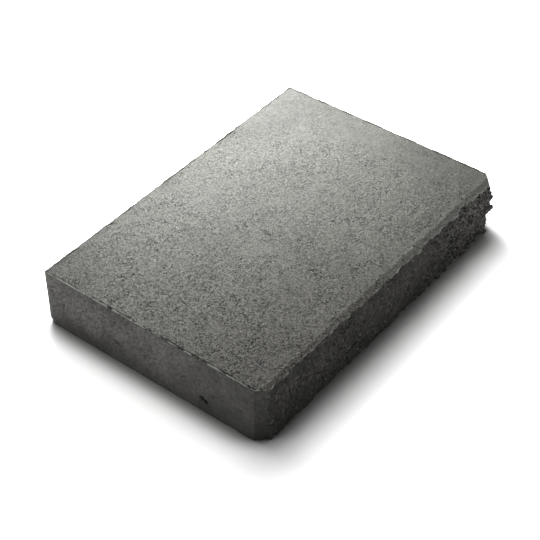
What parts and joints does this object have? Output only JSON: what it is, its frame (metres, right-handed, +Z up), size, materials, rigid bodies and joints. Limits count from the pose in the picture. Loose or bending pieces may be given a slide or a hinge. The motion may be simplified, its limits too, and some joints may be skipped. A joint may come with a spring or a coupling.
{
  "type": "wall coping stone",
  "caption": "Flat slab of cast concrete for capping a wall, smooth on its top, back and ends, with one long face split rough below a shallow top bevel.",
  "frame": {"origin": "centre of the bounding box on the flat underside", "axes": "+X along the length, +Y from the split face to the smooth back, +Z up through the thickness"},
  "size_m": [0.35, 0.2444, 0.06],
  "materials": {
    "concrete": "fine-pored grey cast concrete, matt, with a rough darker fracture on one long face"
  },
  "bodies": {
    "root": {"coping_stone": "concrete"}
  },
  "joints": []
}
